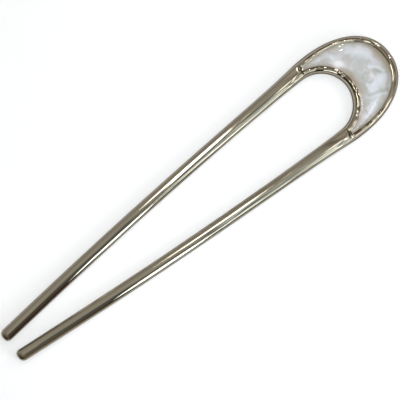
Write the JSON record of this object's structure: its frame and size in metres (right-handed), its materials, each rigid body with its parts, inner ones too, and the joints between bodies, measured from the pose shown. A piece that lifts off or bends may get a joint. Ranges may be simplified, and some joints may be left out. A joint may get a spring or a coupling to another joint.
{
  "type": "u-shaped hair pin",
  "caption": "Flat cast metal U-shaped hair pin with converging rounded legs and a crescent head that holds a pearl resin inlay under a clear dome; holds up a bun or twist of hair.",
  "frame": {"origin": "under the middle of the pin, on the surface that it lies on", "axes": "+X from the leg tips to the crown, +Y across the legs, +Z out of the face"},
  "size_m": [0.11, 0.0224, 0.0034],
  "materials": {
    "plated_metal": "die-cast zinc alloy, polished and plated in warm silver",
    "pearl_resin": "poured pearl-swirl resin",
    "clear_resin": "clear glossy epoxy dome"
  },
  "bodies": {
    "root": {"cast_frame": "plated_metal", "pearl_inlay": "pearl_resin", "clear_dome": "clear_resin"}
  },
  "joints": []
}
